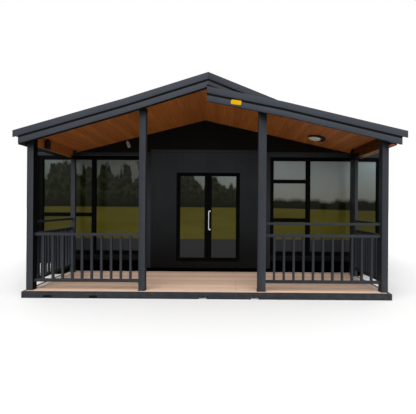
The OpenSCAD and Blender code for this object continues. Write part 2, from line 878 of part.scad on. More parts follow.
module wall_spotlight() {
    spot_z = soffit_at(-spot_x) - spot_drop;
    color(light_metal) translate([-spot_x, shift_y, spot_z]) {
        rotate([90, 0, 0]) cylinder(r = spot_r, h = spot_plate_t);
        translate([0, spot_sunk - spot_plate_t - spot_r, 0]) rotate([0, -20, 0])
            translate([0, 0, -spot_h / 2]) cylinder(r = spot_r, h = spot_h);
    }
}

skirt_boards();
support_feet();
floor_slab();
base_beams();
wall_columns();
window_headers();
front_wall_panels();
front_wall_top();
front_gable();
side_wall_left();
side_wall_right();
back_wall();
front_window_left();
front_window_right();
front_window_glass();
side_window_frames();
side_window_glass();
back_window_frames();
back_window_glass();
door_frame();
door_leaf_left();
door_leaf_right();
door_glass_left();
door_glass_right();
door_handle();
main_roof_left();
main_roof_right();
ridge_cap();
deck_frame();
deck_floor();
deck_trims();
outer_posts();
inner_posts();
rear_posts();
side_beams();
railing_front_left();
railing_front_right();
railing_side_left();
railing_side_right();
porch_roof_left();
porch_roof_right();
ridge_hood();
soffit_left();
soffit_right();
fascia_left();
fascia_hood();
fascia_right();
yellow_plate();
ceiling_light();
hanging_lamp();
wall_spotlight();
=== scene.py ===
"""Looks of the small prefabricated house with a gabled porch. Metres, +Z up, front towards -Y."""

import json
import math

import bmesh
import bpy
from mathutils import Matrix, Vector


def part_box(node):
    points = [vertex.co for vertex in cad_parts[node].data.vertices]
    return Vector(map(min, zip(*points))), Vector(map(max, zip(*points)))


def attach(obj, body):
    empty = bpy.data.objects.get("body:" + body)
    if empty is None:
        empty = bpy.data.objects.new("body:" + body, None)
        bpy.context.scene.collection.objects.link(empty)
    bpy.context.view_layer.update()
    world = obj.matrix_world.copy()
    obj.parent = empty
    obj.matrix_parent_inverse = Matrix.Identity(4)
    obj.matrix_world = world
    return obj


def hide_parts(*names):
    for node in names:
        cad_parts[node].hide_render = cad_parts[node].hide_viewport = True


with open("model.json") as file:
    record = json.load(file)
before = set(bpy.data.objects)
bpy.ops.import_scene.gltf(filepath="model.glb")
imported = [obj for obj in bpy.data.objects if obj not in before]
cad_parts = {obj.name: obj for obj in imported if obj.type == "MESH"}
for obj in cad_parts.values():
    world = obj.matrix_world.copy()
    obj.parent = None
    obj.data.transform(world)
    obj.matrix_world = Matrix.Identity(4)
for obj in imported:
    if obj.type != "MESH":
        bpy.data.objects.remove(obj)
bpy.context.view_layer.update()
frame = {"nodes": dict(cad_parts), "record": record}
nodes = frame["nodes"]
slots = {part["node"]: part["material_slot"] for part in frame["record"]["subparts"]}
X, Y, Z = Vector((1, 0, 0)), Vector((0, 1, 0)), Vector((0, 0, 1))

# ---- Places taken from the frame ----
wall_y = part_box("wall_columns")[0].y
back_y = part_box("back_wall")[1].y
half_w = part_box("wall_columns")[1].x

# ---- Limits for cleaning meshes up ----
same_point = 0.0001
flat_angle, edge_angle = math.radians(1), math.radians(35)


# ---- Meshes ----
def prism(mesh, outline, origin, u, v, along):
    """Adds an outline in the u, v plane, drawn out by the vector along."""
    near = [mesh.verts.new(origin + a * u + b * v) for a, b in outline]
    far = [mesh.verts.new(p.co + along) for p in near]
    mesh.faces.new(near)
    mesh.faces.new(far[::-1])
    for k in range(len(near)):
        nxt = (k + 1) % len(near)
        mesh.faces.new((near[nxt], near[k], far[k], far[nxt]))


def plate(mesh, outline, y0, y1):
    """Adds an outline given in x and z, from one y to another."""
    prism(mesh, outline, Vector((0, y0, 0)), X, Z, Y * (y1 - y0))


def block(mesh, low, high):
    """Adds a box between two corners."""
    (x0, y0, z0), (x1, y1, z1) = low, high
    plate(mesh, [(x0, z0), (x1, z0), (x1, z1), (x0, z1)], y0, y1)


def ring(mesh, at, radius, side, other, steps):
    """Adds points round a circle, or a single point where the radius is 0."""
    if radius == 0:
        return [mesh.verts.new(at)]
    turns = [2 * math.pi * k / steps for k in range(steps)]
    return [mesh.verts.new(at + radius * (side * math.cos(t) + other * math.sin(t))) for t in turns]


def skin(mesh, rings):
    """Joins each ring of points to the next one with faces."""
    for a, b in zip(rings, rings[1:]):
        steps = max(len(a), len(b))
        for k in range(steps):
            nxt = (k + 1) % steps
            corners = [a[k % len(a)], a[nxt % len(a)], b[nxt % len(b)], b[k % len(b)]]
            mesh.faces.new(list(dict.fromkeys(corners)))


def lathe(mesh, profile, origin, axis, side, steps):
    """Adds a closed solid of revolution. The profile is (radius, height) and starts and ends at 0."""
    other = axis.cross(side)
    skin(mesh, [ring(mesh, origin + axis * height, radius, side, other, steps) for radius, height in profile])


def tube(mesh, path, radius, steps=20):
    """Adds a round bar along a path in a plane that faces the front, closed at both ends."""
    rings = []
    for k, at in enumerate(path):
        along = (path[min(k + 1, len(path) - 1)] - path[max(k - 1, 0)]).normalized()
        side = along.cross(Y).normalized()
        rings.append(ring(mesh, at, radius, side, along.cross(side), steps))
    skin(mesh, rings)
    mesh.faces.new(rings[0])
    mesh.faces.new(rings[-1])


def spaced(first, last, count):
    """Even places from first to last."""
    return [first + k * (last - first) / (count - 1) for k in range(count)]


def soften(obj, width):
    """Rounds a piece's edges with modifiers and leaves its own mesh as it is."""
    weld = obj.modifiers.new("weld", "WELD")
    weld.merge_threshold = same_point
    flat = obj.modifiers.new("flat", "DECIMATE")
    flat.decimate_type = "DISSOLVE"
    flat.angle_limit = flat_angle
    bevel = obj.modifiers.new("bevel", "BEVEL")
    bevel.width = width
    bevel.segments = 2
    bevel.limit_method = "ANGLE"
    bevel.angle_limit = edge_angle
    bevel.harden_normals = True


def add_object(name, data):
    """Puts a new object into the scene."""
    obj = bpy.data.objects.new(name, data)
    bpy.context.scene.collection.objects.link(obj)
    return obj


def piece(name, build, slot, paint=None, body="house", stands_for=(), bevel=0.0, smooth=False):
    """Makes a piece from what build(mesh) adds, and gives it its finish and its body; without a paint, its
    finish is the paint of its slot.
    """
    mesh = bmesh.new()
    build(mesh)
    bmesh.ops.recalc_face_normals(mesh, faces=mesh.faces)
    data = bpy.data.meshes.new(name)
    mesh.to_mesh(data)
    mesh.free()
    data.materials.append(paint or paints[slot])
    obj = add_object(name, data)
    if smooth or bevel:
        data.shade_smooth()
    if bevel:
        soften(obj, bevel)
    elif smooth:
        data.set_sharp_from_angle(angle=edge_angle)
    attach(obj, body)
    if stands_for:
        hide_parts(*stands_for)


# ---- Materials ----
class Nodes:
    """Short calls that add nodes to a node tree."""

    def __init__(self, tree, coordinates):
        self.tree = tree
        self.place = self.add("ShaderNodeTexCoord").outputs[coordinates]

    def add(self, kind, **settings):
        node = self.tree.nodes.new(kind)
        for key, value in settings.items():
            setattr(node, key, value)
        return node

    def link(self, source, target):
        """Feeds a socket from another one, or sets it to a constant."""
        if isinstance(source, (int, float, tuple)):
            target.default_value = source
        else:
            self.tree.links.new(source, target)

    def feed(self, node, **sources):
        """Feeds a node's sockets by their names, with _ for a space."""
        for name, source in sources.items():
            self.link(source, node.inputs[name.replace("_", " ")])
        return node

    def fill(self, node, *sources):
        """Feeds a node's first sockets in order, and gives its first output."""
        for source, socket in zip(sources, node.inputs):
            self.link(source, socket)
        return node.outputs[0]

    def noise(self, size, detail=3.0, scale=(1, 1, 1), rough=0.55):
        """Noise from 0 to 1 with features of about that size in metres, packed by a factor for each axis."""
        packed = self.feed(self.add("ShaderNodeMapping"), Vector=self.place, Scale=scale)
        node = self.feed(self.add("ShaderNodeTexNoise"), Vector=packed.outputs[0])
        return self.feed(node, Scale=1 / size, Detail=detail, Roughness=rough).outputs["Fac"]

    def maths(self, operation, a, b=0.0):
        return self.fill(self.add("ShaderNodeMath", operation=operation), a, b)

    def spread(self, value, low, high, to_low=0.0, to_high=1.0):
        """Maps low..high to to_low..to_high, held at both ends."""
        return self.fill(self.add("ShaderNodeMapRange"), value, low, high, to_low, to_high)

    def blend(self, amount, a, b):
        """Mixes two colours."""
        node = self.add("ShaderNodeMix", data_type="RGBA")
        self.link(amount, node.inputs["Factor"])
        colour_sockets = [socket for socket in node.inputs if socket.type == "RGBA"]
        for data, socket in zip((a, b), colour_sockets):
            self.link((*data, 1) if isinstance(data, tuple) else data, socket)
        return next(socket for socket in node.outputs if socket.type == "RGBA")

    def axis(self, letter):
        """The place along X, Y or Z."""
        return self.feed(self.add("ShaderNodeSeparateXYZ"), Vector=self.place).outputs[letter]

    def random(self, value):
        """A random number from 0 to 1 for each whole number."""
        node = self.add("ShaderNodeTexWhiteNoise", noise_dimensions="1D")
        return self.feed(node, W=self.maths("FLOOR", value)).outputs["Value"]

    def seen(self):
        """1 where the camera looks, straight, in a mirror or through glass, and 0 for light."""
        rays = self.add("ShaderNodeLightPath").outputs
        mirrored = self.maths("MAXIMUM", rays["Is Camera Ray"], rays["Is Glossy Ray"])
        return self.maths("MAXIMUM", mirrored, rays["Is Transmission Ray"])


class Paint(Nodes):
    """A Principled material."""

    def __init__(self, name, colour, roughness, metallic=0.0, **sockets):
        self.material = bpy.data.materials.new(name)
        self.material.use_nodes = True
        super().__init__(self.material.node_tree, "Object")
        self.shader = self.tree.nodes["Principled BSDF"]
        self.feed(self.shader, Base_Color=(*colour, 1), Roughness=roughness, Metallic=metallic, **sockets)

    def colour(self, source):
        self.feed(self.shader, Base_Color=source)

    def roughness(self, source):
        self.feed(self.shader, Roughness=source)

    def bump(self, height, distance, strength=1.0):
        """Adds a bump on top of those that are there."""
        node = self.feed(self.add("ShaderNodeBump"), Strength=strength, Distance=distance, Height=height)
        last = self.shader.inputs["Normal"]
        if last.is_linked:
            self.link(last.links[0].from_socket, node.inputs["Normal"])
        self.link(node.outputs[0], last)


def shade(colour, factor):
    """The colour, darker or lighter by a factor."""
    return tuple(c * factor for c in colour)


def painted_metal(name, colour, rough, uneven=0.12, dust=0.15, peel=0.0004, gloss=0.3):
    """Powder coat: faint cloudiness, fine orange peel, and a little dust low down."""
    dust_colour, dust_top = (0.20, 0.18, 0.15), 0.55
    paint = Paint(name, colour, rough, Specular_IOR_Level=gloss)
    cloud = paint.spread(paint.noise(0.9, 5), 0.3, 0.7)
    tone = paint.blend(cloud, shade(colour, 1 - uneven), shade(colour, 1 + uneven))
    fleck = paint.spread(paint.noise(0.006, 2), 0.45, 0.75)
    tone = paint.blend(paint.maths("MULTIPLY", fleck, 0.25), tone, shade(colour, 1.35))
    low = paint.spread(paint.axis("Z"), 0.0, dust_top, 1.0, 0.0)
    grime = paint.maths("MULTIPLY", low, paint.spread(paint.noise(0.12, 6), 0.4, 0.75, 0.0, dust))
    paint.colour(paint.blend(grime, tone, dust_colour))
    paint.roughness(paint.spread(paint.noise(0.35, 4), 0.3, 0.7, rough - 0.06, rough + 0.08))
    paint.bump(paint.noise(0.0035, 2), peel, 0.35)
    return paint.material


def wall_metal(name, colour, rough, gloss=0.15, foot=1.0):
    """Coated steel panel: cloudiness, faint rain streaks, and, if asked, painted shade that darkens it
    towards its foot.
    """
    foot_z, head_z = 0.5, 3.2
    paint = Paint(name, colour, rough, Specular_IOR_Level=gloss)
    cloud = paint.spread(paint.noise(1.4, 5), 0.3, 0.7)
    tone = paint.blend(cloud, shade(colour, 0.88), shade(colour, 1.14))
    streak = paint.spread(paint.noise(0.05, 4, (1, 1, 0.035)), 0.5, 0.8, 0.0, 0.35)
    tone = paint.blend(streak, tone, shade(colour, 1.5))
    # Painted shade: from head_z down to foot_z the colour darkens to foot times itself.
    if foot < 1:
        tone = paint.blend(paint.spread(paint.axis("Z"), foot_z, head_z, foot, 1.0), (0, 0, 0), tone)
    paint.colour(tone)
    paint.roughness(paint.spread(paint.noise(0.5, 4), 0.3, 0.7, rough - 0.05, rough + 0.1))
    paint.bump(paint.noise(0.0022, 2), 0.0003, 0.3)
    paint.bump(paint.noise(0.6, 2), 0.004, 0.12)
    return paint.material


def timber(name, tones, along, board, rough, sheen):
    """Boards that run along one axis, each with its own grain and strength of colour."""
    dark, mid, light = tones
    stretch, across = {"X": ((0.035, 1, 1), "Y"), "Y": ((1, 0.035, 1), "X")}[along]
    far_apart = 37.0
    paint = Paint(name, mid, rough, Specular_IOR_Level=sheen)
    own = paint.random(paint.maths("DIVIDE", paint.axis(across), board))
    shift = paint.feed(paint.add("ShaderNodeCombineXYZ"), **{along: paint.maths("MULTIPLY", own, far_apart)})
    added = paint.add("ShaderNodeVectorMath", operation="ADD")
    paint.place = paint.fill(added, paint.place, shift.outputs[0])
    grain = paint.noise(0.022, 7, stretch, 0.62)
    broad = paint.noise(0.11, 4, stretch)
    fine = paint.noise(0.004, 3, stretch, 0.7)
    tone = paint.blend(paint.spread(grain, 0.32, 0.68), dark, light)
    tone = paint.blend(paint.spread(broad, 0.3, 0.7, 0.15, 0.75), tone, mid)
    tone = paint.blend(paint.spread(fine, 0.55, 0.8, 0.0, 0.35), tone, dark)
    strength = paint.spread(own, 0.0, 1.0, 0.84, 1.12)
    paint.colour(paint.feed(paint.add("ShaderNodeHueSaturation"), Value=strength, Color=tone).outputs[0])
    paint.roughness(paint.spread(grain, 0.3, 0.7, rough + 0.08, rough - 0.06))
    paint.bump(grain, 0.0012, 0.35)
    paint.bump(fine, 0.0005, 0.4)
    return paint.material


def glass_with_painted_reflection(name):
    """Dark glazing with a painted reflection in soft bands: pavement, field, trees with a ragged top, and
    sky.
    """
    pavement_top, field_left, field_right = 0.88, 1.648, 1.586
    trees_low, trees_full, trees_top = 1.70, 2.05, 1.78
    sky_low, sky_high = 1.9, 2.8
    paint = Paint(name, (0.10, 0.11, 0.10), 0.12, Specular_IOR_Level=0.06)
    height, across = paint.axis("Z"), paint.axis("X")
    # Painted reflection: the sky is paler to the right and higher up, over trees, field and pavement.
    right_half = paint.spread(across, -1.2, 1.2)
    low_sky = paint.blend(right_half, (0.060, 0.073, 0.050), (0.235, 0.250, 0.215))
    high_sky = paint.blend(right_half, (0.175, 0.210, 0.195), (0.355, 0.450, 0.470))
    sky = paint.blend(paint.spread(height, sky_low, sky_high), low_sky, high_sky)
    crowns = paint.spread(paint.noise(0.34, 2, (1, 1, 0.16), 0.5), 0.32, 0.52, 0.22, 1.02)
    tallness = paint.spread(across, -0.6, 1.4, 0.92, 0.08)
    ragged = paint.spread(paint.noise(0.16, 5, (1, 1, 0.8), 0.6), 0.3, 0.7, -0.15, 0.10)
    rise = paint.maths("MULTIPLY", paint.maths("ADD", crowns, ragged), tallness)
    under_tops = paint.maths("SUBTRACT", paint.maths("ADD", rise, trees_top), height)
    clumps = paint.spread(paint.noise(0.10, 5), 0.38, 0.68)
    leaves = paint.blend(clumps, (0.005, 0.007, 0.001), (0.028, 0.034, 0.014))
    leaves = paint.blend(paint.spread(height, trees_low, trees_full), (0.005, 0.006, 0.001), leaves)
    tone = paint.blend(paint.spread(under_tops, -0.05, 0.05), sky, leaves)
    patches = paint.spread(paint.noise(0.3, 4, (0.3, 0.3, 1.6)), 0.3, 0.7)
    field = paint.blend(patches, (0.070, 0.064, 0.0085), (0.090, 0.083, 0.0125))
    over_field = paint.maths("SUBTRACT", height, paint.spread(across, 1.2, 4.1, field_left, field_right))
    tone = paint.blend(paint.spread(over_field, -0.01, 0.015), field, tone)
    tone = paint.blend(paint.spread(height, pavement_top, pavement_top + 0.02), (0.028, 0.029, 0.031), tone)
    # The painted reflection darkens towards the outer ends.
    edges = paint.spread(paint.maths("ABSOLUTE", across), 3.1, 3.9, 0.0, 0.32)
    paint.colour(paint.blend(edges, tone, (0.004, 0.004, 0.004)))
    paint.bump(paint.noise(0.9, 1), 0.002, 0.08)
    return paint.material


def brushed(name, colour, rough):
    """Brushed metal with fine lines along Z."""
    paint = Paint(name, colour, rough, 1.0)
    lines = paint.noise(0.003, 3, (1, 1, 0.03))
    paint.roughness(paint.spread(lines, 0.3, 0.7, rough - 0.08, rough + 0.1))
    paint.bump(lines, 0.0002, 0.4)
    return paint.material


def opal(name):
    """Frosted lamp glass."""
    paint = Paint(name, (0.86, 0.83, 0.78), 0.4, Subsurface_Weight=0.2)
    cloud = paint.spread(paint.noise(0.08, 3), 0.3, 0.7)
    paint.colour(paint.blend(cloud, (0.80, 0.77, 0.72), (0.92, 0.90, 0.86)))
    paint.bump(paint.noise(0.004, 2), 0.0004, 0.4)
    return paint.material


# ---- Boards: sizes, and the dark, middle and light tone of each wood ----
board_w, board_t = 0.146, 0.02
deck_rows = 12
deck_low, deck_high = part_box("deck_floor")
deck_row = (deck_high.y - deck_low.y) / deck_rows
soffit_tones = (0.32, 0.092, 0.018), (0.51, 0.168, 0.038), (0.66, 0.24, 0.060)
pale_tones = (0.50, 0.24, 0.07), (0.66, 0.36, 0.12), (0.80, 0.48, 0.18)
deck_tones = (0.66, 0.46, 0.33), (0.86, 0.60, 0.45), (0.95, 0.70, 0.55)


def porch_wood(name, tones, factor, rough, sheen):
    """Ceiling boards, darkened by a factor; a factor below 1 paints shade."""
    return timber(name, [shade(tone, factor) for tone in tones], "Y", board_w, rough, sheen)


# ---- Paint of each slot, and paints of single pieces ----
paints = {
    "steel_paint": painted_metal("steel_paint", (0.0195, 0.0235, 0.0295), 0.45, gloss=0.2),
    "wall_panel": wall_metal("wall_panel", (0.0125, 0.0135, 0.0150), 0.55, gloss=0.08),
    "gable_panel": wall_metal("gable_panel", (0.005, 0.005, 0.004), 0.65, gloss=0.05),
    "black_paint": painted_metal("black_paint", (0.004, 0.004, 0.004), 0.6, dust=0.02, gloss=0.05),
    "window_frame": painted_metal("window_frame", (0.0016, 0.0016, 0.0015), 0.55, dust=0.02, gloss=0.02),
    "dark_glass": glass_with_painted_reflection("dark_glass"),
    "roof_sheet": wall_metal("roof_sheet", (0.075, 0.082, 0.100), 0.45, gloss=0.3),
    "soffit_wood": porch_wood("soffit_wood", soffit_tones, 1.0, 0.45, 0.3),
    "deck_boards": timber("deck_boards", deck_tones, "X", deck_row, 0.65, 0.2),
    "light_trim": painted_metal("light_trim", (0.60, 0.61, 0.63), 0.38, 0.05, 0.05),
    "bright_metal": brushed("bright_metal", (0.72, 0.73, 0.75), 0.28),
    "yellow_paint": painted_metal("yellow_paint", (0.80, 0.44, 0.002), 0.5, 0.04, 0.0, 0.0002, 0.05),
    "lamp_black": painted_metal("lamp_black", (0.006, 0.006, 0.006), 0.5, 0.1, 0.0, gloss=0.15),
}
# fascia_paint: the steel paint made lighter, as painted light on the fascia high up.
fascia_paint = painted_metal("fascia_paint", (0.036, 0.042, 0.056), 0.42, gloss=0.2)
# Painted shade: the fascia paint made darker for the hood.
shaded_hood_paint = painted_metal("shaded_hood_paint", (0.029, 0.036, 0.047), 0.42, gloss=0.2)
# front_panel: brighter than wall_panel as painted light under the porch roof, and darker towards its foot as
# painted shade.
front_panel = wall_metal("front_panel", (0.0250, 0.0300, 0.0325), 0.55, 0.08, 0.08)
charcoal = wall_metal("charcoal_paint", (0.012, 0.0135, 0.017), 0.5)
header_paint = wall_metal("header_paint", (0.0175, 0.0195, 0.0240), 0.5)
shadow_black = painted_metal("shadow_black", (0.0012, 0.0012, 0.00125), 0.8, dust=0.0, gloss=0.0)
shaded_wood = porch_wood("shaded_wood", soffit_tones, 0.26, 0.5, 0.1)
# Painted shade: the soffit wood darkened, for the right side beam's inner face.
shade_painted_wood = porch_wood("shade_painted_wood", soffit_tones, 0.16, 0.5, 0.1)
pale_wood = porch_wood("pale_wood", pale_tones, 1.0, 0.4, 0.3)
# Painted shade: the pale wood at half its tone, for the slats under the right side beam.
shade_painted_slat_wood = porch_wood("shade_painted_slat_wood", pale_tones, 0.5, 0.4, 0.2)
spot_paint = painted_metal("spot_paint", (0.36, 0.355, 0.35), 0.4, 0.05, 0.05)
lens_glass = opal("lens_glass")

# ---- The CAD nodes: paint and edge radius ----
radii = {"steel_paint": 0.004, "wall_panel": 0.002, "roof_sheet": 0.004, "soffit_wood": 0.004}
post_radius, other_radius = 0.007, 0.002
own_paints = {"front_wall_panels": front_panel, "front_wall_top": front_panel,
              "fascia_left": fascia_paint, "fascia_hood": shaded_hood_paint, "fascia_right": fascia_paint,
              "wall_columns": charcoal, "window_headers": header_paint,
              "base_beams": paints["black_paint"], "skirt_boards": shadow_black}
for name, obj in nodes.items():
    obj.data.materials.clear()
    obj.data.materials.append(own_paints.get(name, paints[slots[name]]))
    if slots[name] == "dark_glass":
        continue
    obj.data.shade_smooth()
    soften(obj, post_radius if "posts" in name else radii.get(slots[name], other_radius))


# ---- Porch ceiling: boards with V joints ----
def ceiling_boards(node):
    """Boards in the place of one half of the porch ceiling."""
    low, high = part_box(node)
    rises = low.x + high.x < 0
    joint = 0.006
    fall = (high.z - low.z - board_t) / (high.x - low.x)
    u = Vector((1, 0, fall if rises else -fall))
    start = Vector((low.x, low.y, low.z if rises else high.z - board_t))

    def build(mesh):
        for k in range(math.floor(low.x / board_w), math.ceil(high.x / board_w)):
            a = max(k * board_w, low.x) - low.x
            b = min((k + 1) * board_w, high.x) - low.x
            if b - a < 3 * joint:
                continue
            section = [(a, board_t), (a, joint), (a + joint, 0), (b - joint, 0), (b, joint), (b, board_t)]
            prism(mesh, section, start, u, Z, Y * (high.y - low.y))

    return build


for side in ("left", "right"):
    node = "soffit_" + side
    piece("ceiling_boards_" + side, ceiling_boards(node), "soffit_wood", stands_for=[node])


# ---- Lines of the porch roof ----
left_low, left_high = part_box("soffit_left")
right_low, right_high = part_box("soffit_right")
peak_x, peak_z = left_high.x, left_high.z - board_t
ceiling_rise = (peak_z - left_low.z) / (peak_x - left_low.x)
ceiling_fall = (peak_z - right_low.z) / (right_high.x - peak_x)


def ceiling_at(x):
    """Height of the ceiling's underside."""
    return peak_z - (x - peak_x) * (ceiling_fall if x > peak_x else -ceiling_rise)


def top_points(node):
    """Corners of a fascia's upper edge, as (x, z) from left to right."""
    tops = {}
    for vertex in nodes[node].data.vertices:
        x = round(vertex.co.x, 3)
        tops[x] = max(tops.get(x, 0), vertex.co.z)
    return sorted(tops.items())


def height_on(points, x):
    """Height at x on the line through the points."""
    for (x0, z0), (x1, z1) in zip(points, points[1:]):
        if x <= x1 or (x1, z1) == points[-1]:
            return z0 + (x - x0) * (z1 - z0) / (x1 - x0)


# ---- Fascia: black strips as painted shadow in the gap and under the fascia, and the closing board ----
strip_depth, gap_depth, fascia_depth = 0.122, 0.162, 0.266
strip_t, lip = 0.02, 0.018
gap_in, lip_in, end_in = 0.006, 0.012, 0.1


def fascia_band(node, x0, x1, depth0, depth1, y0, y1):
    """A band between two depths under a fascia's upper edge."""
    points = top_points(node)
    places = [x0] + [x for x, _ in points if x0 < x < x1] + [x1]

    def build(mesh):
        section = [(x, height_on(points, x) - depth1) for x in places]
        section += [(x, height_on(points, x) - depth0) for x in reversed(places)]
        plate(mesh, section, y0, y1)

    return build


for name, in_left, in_right in (("fascia_left", end_in, 0),
                                ("fascia_hood", 0, 0),
                                ("fascia_right", 0, end_in)):
    low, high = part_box(name)
    x0, x1 = low.x + in_left, high.x - in_right
    # Painted shadow: a black strip fills the recess between each fascia's two strips.
    shadow = fascia_band(name, x0, x1, strip_depth, gap_depth, low.y + gap_in, low.y + strip_t)
    piece(name + "_gap", shadow, "black_paint")
    if name == "fascia_left":
        # Painted shadow: a black strip under the left fascia's lower edge.
        shadow_under_fascia = fascia_band(name, x0, x1, fascia_depth, fascia_depth + lip, low.y + lip_in, high.y)
        piece(name + "_lip", shadow_under_fascia, "black_paint")


def right_fascia_shadow_wedge(mesh):
    """Tapered black wedge on the start of the right fascia: painted shadow where the hood meets it."""
    length, tall, inset = 0.24, 0.030, 0.002
    low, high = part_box("fascia_right")
    points = top_points("fascia_right")
    start_x, start_z = points[0]
    end_x = start_x + length
    section = [(start_x, start_z), (end_x, height_on(points, end_x)), (start_x, start_z + tall)]
    plate(mesh, section, low.y + inset, high.y - inset)


piece("fascia_right_shadow_wedge", right_fascia_shadow_wedge, "black_paint")


def eave_board(node, x0, x1):
    """Board under the roof's overhang, from the side beam at x0 out to x1, and up to the ceiling there."""
    points = top_points(node)
    thick = 0.012
    inner = x1 - math.copysign(thick, x1)

    def foot(x):
        """Height of the fascia's lower edge."""
        return height_on(points, x) - fascia_depth

    def build(mesh):
        section = [(x0, foot(x0)), (x0, foot(x0) - thick), (x1, foot(x1) - thick), (x1, ceiling_at(x1)),
                   (inner, ceiling_at(inner)), (inner, foot(inner))]
        plate(mesh, section, left_low.y, left_high.y)

    return build


beams_low, beams_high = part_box("side_beams")
left_in, right_in = 0.095, 0.15
left_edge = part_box("fascia_left")[0].x + left_in
right_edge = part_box("fascia_right")[1].x - right_in
# The left eave board is black as painted shadow; the right one is soffit wood.
piece("eave_board_left", eave_board("fascia_left", beams_low.x, left_edge), "black_paint", bevel=0.002)
piece("eave_board_right", eave_board("fascia_right", beams_high.x, right_edge), "soffit_wood", bevel=0.002)


def closing_board(mesh):
    """Board over the front of the roof, between the fascia and the ceiling."""
    thick = 0.012
    points = top_points("fascia_left")
    (last_x, last_z), (ridge_x, ridge_z) = points[-2:]
    drop = fascia_depth + lip
    slope = (ridge_z - last_z) / (ridge_x - last_x)
    start = peak_x - (height_on(points, peak_x) - drop - peak_z) / (slope - ceiling_rise)
    section = [(start, ceiling_at(start)), (peak_x, peak_z), (ridge_x, ceiling_at(ridge_x)),
               (ridge_x, ridge_z - drop)]
    plate(mesh, section, left_low.y - thick, left_low.y)


piece("closing_board", closing_board, "soffit_wood", paint=shaded_wood)


# ---- Deck: boards with open joints, butt joints and screws ----
butts = [-1.35, 0.62, 2.05, -2.2]
butt_shift = 0.25


def board_ends(row):
    """Places where a row's boards meet."""
    return sorted([butts[row % 4], butts[(row + 2) % 4] + butt_shift * (row % 3)])


def deck_boards(mesh):
    """Rows of boards with an open joint between them and where they meet."""
    side_gap, end_gap = 0.003, 0.002
    for row in range(deck_rows):
        y = deck_low.y + row * deck_row
        ends = [deck_low.x + end_gap] + board_ends(row) + [deck_high.x - end_gap]
        for a, b in zip(ends, ends[1:]):
            block(mesh, (a + end_gap, y + side_gap, deck_low.z),
                  (b - end_gap, y + deck_row - side_gap, deck_high.z))


piece("deck_board_rows", deck_boards, "deck_boards", stands_for=["deck_floor"], bevel=0.003)


def screw(mesh, at, radius=0.0045, height=0.0012):
    """Screw head with a socket, facing up."""
    lathe(mesh, [(0, 0), (radius, 0), (radius, height * 0.6), (radius * 0.7, height), (radius * 0.35, height),
                 (radius * 0.25, height * 0.3), (0, height * 0.3)], at, Z, X, 10)


def deck_screws(mesh):
    """Pairs of screws at even places along each row of boards."""
    pairs, margin = 13, 0.06
    for row in range(deck_rows):
        for x in spaced(deck_low.x + margin, deck_high.x - margin, pairs):
            for part in (0.25, 0.75):
                screw(mesh, Vector((x, deck_low.y + (row + part) * deck_row, deck_high.z)))


piece("deck_screws", deck_screws, "bright_metal")


# ---- Glazing beads round every pane ----
def mitred_loop(mesh, start, u, wide, tall, bead_w, along):
    """Adds four mitred bars inside a rectangle that starts at a point and lies in the plane of u and Z."""
    outer = [(0, 0), (wide, 0), (wide, tall), (0, tall)]
    in_x, in_z = wide - bead_w, tall - bead_w
    inner = [(bead_w, bead_w), (in_x, bead_w), (in_x, in_z), (bead_w, in_z)]
    for k in range(4):
        nxt = (k + 1) % 4
        prism(mesh, [outer[k], outer[nxt], inner[nxt], inner[k]], start, u, Z, along)


def islands(node):
    """Boxes of the separate solids in a node, as (low, high)."""
    mesh = bmesh.new()
    mesh.from_mesh(nodes[node].data)
    bmesh.ops.remove_doubles(mesh, verts=mesh.verts, dist=same_point)
    left, found = set(mesh.verts), []
    while left:
        group, edge = set(), {next(iter(left))}
        while edge:
            group |= edge
            edge = {e.other_vert(v) for v in edge for e in v.link_edges} - group
        left -= group
        points = [v.co for v in group]
        low = Vector([min(p[k] for p in points) for k in range(3)])
        high = Vector([max(p[k] for p in points) for k in range(3)])
        found.append((low, high))
    mesh.free()
    return sorted(found, key=lambda pair: tuple(round(c, 3) for c in pair[0]))


def beads(node, bead_w=0.014, proud=0.016):
    """Beads on both faces of each pane of a node."""
    def build(mesh):
        for low, high in islands(node):
            size = high - low
            u, out = (X, Y) if size.x > size.y else (Y, X)
            for start in (low - out * proud, low + out * out.dot(size)):
                mitred_loop(mesh, start, u, u.dot(size), size.z, bead_w, out * proud)

    return build


piece("front_window_beads", beads("front_window_glass"), "window_frame", bevel=0.002)
piece("back_window_beads", beads("back_window_glass"), "window_frame", bevel=0.002)
for side in ("left", "right"):
    leaf = beads("door_glass_" + side, 0.008, 0.006)
    piece("door_beads_" + side, leaf, "window_frame", body="door_leaf_" + side, bevel=0.0015)
piece("side_window_beads", beads("side_window_glass"), "window_frame", bevel=0.002)


# ---- Trims, joint covers and cladding on the walls ----
def on_side(mesh, sign, y0, y1, z0, z1, out):
    """Adds a flat strip on the left wall (-1) or the right wall (1)."""
    x0, x1 = sorted((sign * half_w, sign * (half_w + out)))
    block(mesh, (x0, y0, z0), (x1, y1, z1))


def on_back(mesh, x0, x1, z0, z1, out):
    """Adds a flat strip on the back wall."""
    block(mesh, (x0, back_y, z0), (x1, back_y + out, z1))


def surround(add, a, b, z0, z1):
    """Adds a window's head, sides and sill, each by add(start, end, foot, top, out)."""
    wide, proud, sill_out, sill_t = 0.05, 0.005, 0.03, 0.03
    add(a - wide, b + wide, z1, z1 + wide, proud)
    add(a - wide, a, z0, z1, proud)
    add(b, b + wide, z0, z1, proud)
    add(a - wide, b + wide, z0 - sill_t, z0, sill_out)


def window_trims(mesh):
    """Flat trims round the side and back windows, with a sill under each."""
    for low, high in islands("side_window_frames"):
        sign = math.copysign(1, low.x)
        surround(lambda *strip: on_side(mesh, sign, *strip), low.y, high.y, low.z, high.z)
    for low, high in islands("back_window_frames"):
        surround(lambda *strip: on_back(mesh, *strip), low.x, high.x, low.z, high.z)


piece("window_trims", window_trims, "steel_paint", bevel=0.0015)

side_low, side_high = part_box("side_wall_right")
back_low, back_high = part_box("back_wall")
eave_gap = 0.02


